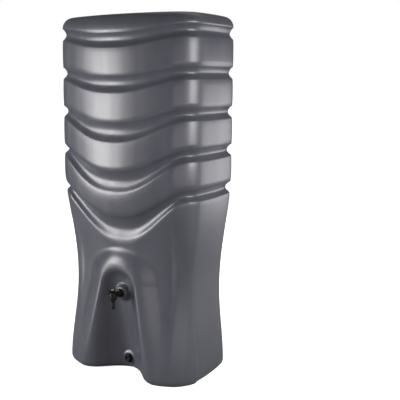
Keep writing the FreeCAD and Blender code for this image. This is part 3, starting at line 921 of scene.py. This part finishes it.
def nut(flats, bore, base, axis, length):
    """Nut with chamfered corners and eased mouths of its bore."""
    mouth = bore + NUT_MOUTH
    cutter = turned(((0, -1), (mouth, -1), (bore, NUT_MOUTH_DEPTH), (bore, length - NUT_MOUTH_DEPTH),
                     (mouth, length + 1), (0, length + 1)), base, axis, 0)
    return boolean(hexagon(flats, base, axis, length), cutter, "DIFFERENCE")


def thread(radius, start, end):
    """Corners of a thread's section, which is drawn as rings rather than as a helix."""
    corners = []
    for i in range(int((end - start) / THREAD_PITCH)):
        low = start + i * THREAD_PITCH
        corners.append((radius - THREAD_DEPTH, low))
        corners += [(radius, low + share * THREAD_PITCH) for share in THREAD_CREST]
        corners.append((radius - THREAD_DEPTH, low + THREAD_FOOT * THREAD_PITCH))
    return corners


def flutes(count, radius, reach, base, axis, start, end):
    """Round cutters in a ring round an axis, for notches in a rim."""
    across = axis.orthogonal().normalized()
    beside = axis.cross(across)
    cutters = []
    for i in range(count):
        turn = 2 * pi * (i + 0.5) / count
        place = base + (across * cos(turn) + beside * sin(turn)) * reach
        cutters.append(turned(((0, start), (radius, start), (radius, end), (0, end)),
                              place, axis, 0, FLUTE_STEPS))
    deselect_all()
    for cutter in cutters:
        cutter.select_set(True)
    bpy.context.view_layer.objects.active = cutters[0]
    bpy.ops.object.join()
    return cutters[0]


def finished(piece, name, body, slot, *nodes):
    """Smooths a fitting, puts its own origin at the frame's and settles it."""
    deselect_all()
    piece.select_set(True)
    bpy.context.view_layer.objects.active = piece
    bpy.ops.object.transform_apply(location=True, rotation=True, scale=True)
    edit(piece)
    bpy.ops.mesh.remove_doubles(threshold=CLEAN_MERGE * MM)
    bpy.ops.mesh.dissolve_degenerate(threshold=SLIVER * MM)
    bpy.ops.object.mode_set(mode="OBJECT")
    smooth(piece, FITTING_SMOOTH_ANGLE)
    settle(piece, name, body, slot, *nodes)


print("turning tools ready")

# %% [markdown]
# The tap is one moulding: a threaded shank through the wall, a flange against the washer, a
# hexagon for the spanner, a barrel, and an upright hub that ends in a spout with a hose tail. The
# barrel and the hub are turned and joined, then drilled through where water runs. The hexagon is
# put on last, as a ring round the barrel, so that it doesn't fill the bore again.

# %% Tap body
WASHER = 2.5
SHANK = 21.0
SHANK_NECK = 12.6
THREAD_RADIUS = 13.2
FLANGE_RADIUS = 16.5
BARREL_RADIUS = 9.8
TAP_BORE = 6.5
TAP_REACH = 40.0
HUB_RADIUS = 13.5
HUB_HEIGHT = 10
HUB_GROOVE = 12.7
COCK_SEAT = 9.08
COCK_FLOOR = -10.0
SPOUT_BORE = 4.0
SPOUT_END = -49.0
TAIL_RADIUS = 7.4
TAIL_WAIST = 6.7
COLLAR_FLATS = 26.0
COLLAR_START = 3.5
COLLAR_LENGTH = 6.5
COLLAR_HOLE = 8.0
MOULD_EASE = 0.25
TAP_BACK = Vector((0, TAP_FACE - WASHER, TAP_HEIGHT))
HUB = TAP_BACK + OUT * TAP_REACH

barrel = turned(((0, -SHANK), (THREAD_RADIUS - THREAD_DEPTH, -SHANK),
                 *thread(THREAD_RADIUS, -SHANK + 1, -2), (SHANK_NECK, 0), (FLANGE_RADIUS, 0),
                 (FLANGE_RADIUS, 3), (15.6, 4), (11.6, 4), (11, 10.6), (BARREL_RADIUS, 12),
                 (BARREL_RADIUS, TAP_REACH), (0, TAP_REACH)), TAP_BACK, OUT, MOULD_EASE)
hub = turned(((0, SPOUT_END), (6.1, SPOUT_END), (TAIL_RADIUS, -46), (TAIL_WAIST, -45.4),
              (TAIL_RADIUS, -42.6), (TAIL_WAIST, -42), (TAIL_RADIUS, -39.2), (TAIL_WAIST, -38.6),
              (TAIL_RADIUS, -35.6), (6.3, -34), (6.2, -26), (7.0, -21.5), (9.2, -16.5),
              (12.4, -13), (HUB_RADIUS, -11), (HUB_RADIUS, 6), (HUB_GROOVE, 6.8),
              (HUB_GROOVE, 8.2), (HUB_RADIUS, 8.8), (HUB_RADIUS, HUB_HEIGHT), (0, HUB_HEIGHT)),
             HUB, UP, MOULD_EASE)
tap = boolean(barrel, hub, "UNION")
boolean(tap, plug(TAP_BORE, TAP_BACK, OUT, -SHANK - 1, TAP_REACH), "DIFFERENCE")
drill = turned(((0, SPOUT_END - 1), (SPOUT_BORE, SPOUT_END - 1), (SPOUT_BORE, COCK_FLOOR),
                (COCK_SEAT, COCK_FLOOR), (COCK_SEAT, HUB_HEIGHT + 1), (0, HUB_HEIGHT + 1)),
               HUB, UP, 0, DRILL_STEPS)
boolean(tap, drill, "DIFFERENCE")
collar_seat = TAP_BACK + OUT * COLLAR_START
collar = hexagon(COLLAR_FLATS, collar_seat, OUT, COLLAR_LENGTH)
hole = turned(((0, -1), (COLLAR_HOLE, -1), (COLLAR_HOLE, COLLAR_LENGTH + 1),
               (0, COLLAR_LENGTH + 1)), collar_seat, OUT, 0)
boolean(collar, hole, "DIFFERENCE")
boolean(tap, collar, "UNION")
finished(tap, "tap_moulding", "tank", "fitting_plastic", "tap_body")

# %% [markdown]
# The gland nut holds the cock down in the hub. The lever is pressed on the cock's stem: a round
# hub, an arm that narrows outwards, and a barrel-shaped knob, all in one moulding.

# %% Gland nut and lever
HUB_TOP = HUB + UP * HUB_HEIGHT
GLAND_FLATS = 24.0
GLAND_HEIGHT = 5.0
GLAND_BORE = 5.08
LEVER_GAP = 0.3
LEVER_BORE = 5.0
LEVER_REACH = 24.0
LEVER_HEIGHT = 6.0
KNOB_RADIUS = 4.6
ARM_WIDTH = 5.0
ARM_EASE = 1.2
ARM_TAPER = (0.72, 1, 0.8)
LEVER_SEAT = HUB_TOP + UP * (GLAND_HEIGHT + LEVER_GAP)
ARM_MIDDLE = LEVER_SEAT + OUT * 14 + UP * 3
KNOB_MIDDLE = LEVER_SEAT + OUT * LEVER_REACH + UP * 3

gland = nut(GLAND_FLATS, GLAND_BORE, HUB_TOP, UP, GLAND_HEIGHT)
finished(gland, "gland_nut_moulding", "tank", "fitting_plastic", "tap_gland_nut")

lever = turned(((0, 0), (6.9, 0), (7.5, 0.6), (7.5, 5), (6.6, LEVER_HEIGHT), (0, LEVER_HEIGHT)),
               LEVER_SEAT, UP, 0.3)
arm = bar((ARM_WIDTH, LEVER_REACH - 4, LEVER_HEIGHT - 1.2), ARM_MIDDLE, ARM_EASE)
deselect_all()
for vertex in arm.data.vertices:
    vertex.select = vertex.co.y < ARM_MIDDLE.y * MM
bpy.context.view_layer.objects.active = arm
bpy.ops.object.mode_set(mode="EDIT")
bpy.ops.transform.resize(value=ARM_TAPER, center_override=ARM_MIDDLE * MM)
bpy.ops.object.mode_set(mode="OBJECT")
knob = turned(((0, -KNOB_RADIUS), (2.6, -KNOB_RADIUS), (4.0, -3.4), (KNOB_RADIUS, -1.2),
               (KNOB_RADIUS, 1.2), (4.0, 3.4), (2.6, KNOB_RADIUS), (0, KNOB_RADIUS)),
              KNOB_MIDDLE, UP, 0.4)
boolean(boolean(lever, arm, "UNION"), knob, "UNION")
boolean(lever, plug(LEVER_BORE, LEVER_SEAT, UP, -1, LEVER_HEIGHT + 1), "DIFFERENCE")
finished(lever, "lever_moulding", "tap_lever", "fitting_plastic", "tap_lever")

# %% [markdown]
# Inside the tank a nut and a washer hold the tap, and others hold the drain bush. They are seen
# only through the filling neck, so they are plain nuts with chamfered corners.

# %% Nuts inside the tank
NUT_FLATS = 33.0
NUT_HEIGHT = 8.0
DRAIN_WASHER = 2.0

for name, face, height, washer in (("tap_backnut", TAP_FACE, TAP_HEIGHT, WASHER),
                                   ("drain_backnut", DRAIN_FACE, DRAIN_HEIGHT, DRAIN_WASHER)):
    seat = Vector((0, face + WALL + washer + NUT_HEIGHT, height))
    backnut = nut(NUT_FLATS, THREAD_RADIUS, seat, OUT, NUT_HEIGHT)
    finished(backnut, name + "_moulding", "tank", "fitting_plastic", name)

# %% [markdown]
# The drain is a flanged bush with a screwed plug. The plug's head has a fluted rim for the
# fingers and a hexagon socket for a key.

# %% Drain bush and plug
DRAIN_BACK = Vector((0, DRAIN_FACE - DRAIN_WASHER, DRAIN_HEIGHT))
DRAIN_SHANK = 20.0
DRAIN_BORE = 9.58
DRAIN_FLANGE = 18.0
PLUG_SEAT = DRAIN_BACK + OUT * 5.5
PLUG_RADIUS = 9.5
PLUG_HEAD = 5.0
PLUG_HEAD_RADIUS = 13.0
PLUG_LENGTH = 16.0
KEY_FLATS = 10.0
HEAD_FLUTES = 16

bush = turned(((DRAIN_BORE, -DRAIN_SHANK), (THREAD_RADIUS - THREAD_DEPTH, -DRAIN_SHANK),
               *thread(THREAD_RADIUS, -DRAIN_SHANK + 1, -2), (SHANK_NECK, 0), (DRAIN_FLANGE, 0),
               (DRAIN_FLANGE, 2.4), (16.6, 4), (13.6, 4), (13.2, 3.6), (12.8, 4), (DRAIN_BORE, 4)),
              DRAIN_BACK, OUT, MOULD_EASE)
finished(bush, "drain_bush_moulding", "tank", "fitting_plastic", "drain_bush")

stopper = turned(((0, -PLUG_LENGTH), (8.4, -PLUG_LENGTH), *thread(PLUG_RADIUS, -PLUG_LENGTH + 1, -1),
                  (PLUG_RADIUS - THREAD_DEPTH, 0), (PLUG_HEAD_RADIUS, 0), (PLUG_HEAD_RADIUS, 3.8),
                  (11.8, PLUG_HEAD), (8.6, PLUG_HEAD), (8.2, 4.4), (0, 4.4)),
                 PLUG_SEAT, OUT, MOULD_EASE)
boolean(stopper, hexagon(KEY_FLATS, PLUG_SEAT + OUT, OUT, PLUG_HEAD + 1), "DIFFERENCE")
grips = flutes(HEAD_FLUTES, 1.3, PLUG_HEAD_RADIUS + 0.6, PLUG_SEAT, OUT, 0.6, PLUG_HEAD + 1)
boolean(stopper, grips, "DIFFERENCE")
finished(stopper, "drain_plug_moulding", "drain_plug", "fitting_plastic", "drain_plug")

# %% [markdown]
# The lid is a shallow cap. Its skirt is ribbed for the hands, its flange has twelve notches, and
# a rounded rib across the dished top serves as a handle.

# %% Lid
LID_BOTTOM = Vector((0, 0, POCKET_FLOOR + 0.6))
LID_TOP = 15.9
LID_ROOF = 12.4
LID_DISH = 14.8
LID_RADIUS = 103.1
SKIRT_RADIUS = 96.1
SKIRT_INSIDE = 92.6
HANDLE = (150.0, 5.0, 4.0)
HANDLE_EASE = 1.1
NOTCHES = 12
NOTCH_RADIUS = 4.0
RIBS = 60
RIB_GROOVE_RADIUS = 1.1
LID_STEPS = 120

lid = turned(((0, LID_ROOF), (SKIRT_INSIDE - 1, LID_ROOF), (SKIRT_INSIDE, LID_ROOF - 1),
              (SKIRT_INSIDE, 0), (LID_RADIUS, 0), (LID_RADIUS, 2.7), (102.3, 3.5), (97.1, 3.5),
              (SKIRT_RADIUS, 4.5), (SKIRT_RADIUS, 14.3), (94.5, LID_TOP), (88, LID_TOP), (86, 15),
              (60, LID_DISH), (0, LID_DISH)), LID_BOTTOM, UP, 0.3, LID_STEPS)
boolean(lid, bar(HANDLE, LID_BOTTOM + UP * LID_TOP, HANDLE_EASE), "UNION")
notches = flutes(NOTCHES, NOTCH_RADIUS, LID_RADIUS, LID_BOTTOM, UP, -1, 5)
boolean(lid, notches, "DIFFERENCE")
grooves = flutes(RIBS, RIB_GROOVE_RADIUS, SKIRT_RADIUS + 0.6, LID_BOTTOM, UP, 5, 13)
boolean(lid, grooves, "DIFFERENCE")
finished(lid, "lid_moulding", "lid", "lid_plastic", "lid")

# %% [markdown]
# The tank stands on a pale floor. The picture's background is white, so the camera sees the far
# floor as plain white, and near the tank it sees the floor's own light and shadow as well. Only
# the camera sees it so, and what the tank mirrors is a darker grey floor.

# %% Floor
FLOOR_GREY = (0.26, 0.26, 0.26, 1)
FLOOR_SEEN = (0.9, 0.9, 0.9, 1)
FLOOR_SIDE = 60
GLOW_STARTS = 0.4
GLOW_FULL = 1.3
GLOW_NEAR_TANK = 0.78

deselect_all()
bpy.ops.mesh.primitive_plane_add(size=FLOOR_SIDE)
floor = bpy.context.active_object
floor.name = "floor"
ground = Finish("floor")
seen = ground.camera_ray()
away = ground.add("ShaderNodeVectorMath", {"operation": "LENGTH"}, {0: ground.place}, "Value")
glow = seen * ground.band(away, GLOW_STARTS, GLOW_FULL, GLOW_NEAR_TANK, 1.0)
ground.surface(Base_Color=ground.blend(seen, FLOOR_GREY, FLOOR_SEEN), Roughness=0.9,
               Emission_Color=ground.blend(glow, (0, 0, 0, 1), (1, 1, 1, 1)),
               Emission_Strength=1.0)
floor.data.materials.append(ground.material)
print("floor", FLOOR_SIDE, "m wide")

# %% [markdown]
# The room is plain as well: white to the camera, and an even grey for everything else, which
# gives the shadows their soft light.

# %% Room
ROOM_GREY = (0.14, 0.14, 0.14, 1)

world = bpy.data.worlds.new("room")
bpy.context.scene.world = world
room = NodeTree(world)
background = room.tree.nodes["Background"]
room.feed(background, "Color", room.blend(room.camera_ray(), ROOM_GREY, (1, 1, 1, 1)))
print("room grey", ROOM_GREY[0])

# %% [markdown]
# Satin plastic shows its form through what it mirrors. Two tall soft boxes at the level of the
# tank, one at the left front and one at the right, draw the two upright lights on its front. A
# third one behind it at the right lightens its side, a wide weak one fills the front, and two more
# lighten its top and its back. Each is given by its azimuth in degrees, its distance, its height,
# the width and height of its face, all in metres, and its power in watts.

# %% Soft boxes
SOFT_BOXES = {
    "left_soft_box": (-40.5, 2.4, 0.75, 1.0, 1.6, 83),
    "right_soft_box": (86, 2.4, 1.15, 1.0, 1.1, 50),
    "rear_soft_box": (142, 2.4, 0.45, 1.9, 1.3, 29),
    "front_fill": (50, 3.0, 0.6, 3.4, 1.2, 26),
    "top_soft_box": (180, 1.2, 3.4, 2.4, 1.6, 10),
    "back_soft_box": (215, 3.0, 1.0, 2.0, 1.6, 34),
}
AIM = Vector((0, 0, 0.65))


def soft_box(name, azimuth, distance, height, width, tall, power):
    """Soft light, its azimuth counted from the front towards +X, facing the tank's middle."""
    turn = radians(azimuth)
    light = bpy.data.lights.new(name, "AREA")
    light.shape = "RECTANGLE"
    light.size = width
    light.size_y = tall
    light.energy = power
    lamp = bpy.data.objects.new(name, light)
    bpy.context.scene.collection.objects.link(lamp)
    lamp.location = (distance * sin(turn), -distance * cos(turn), height)
    lamp.rotation_euler = (AIM - lamp.location).to_track_quat("-Z", "Y").to_euler()


for name, values in SOFT_BOXES.items():
    soft_box(name, *values)
print(len(SOFT_BOXES), "soft boxes")
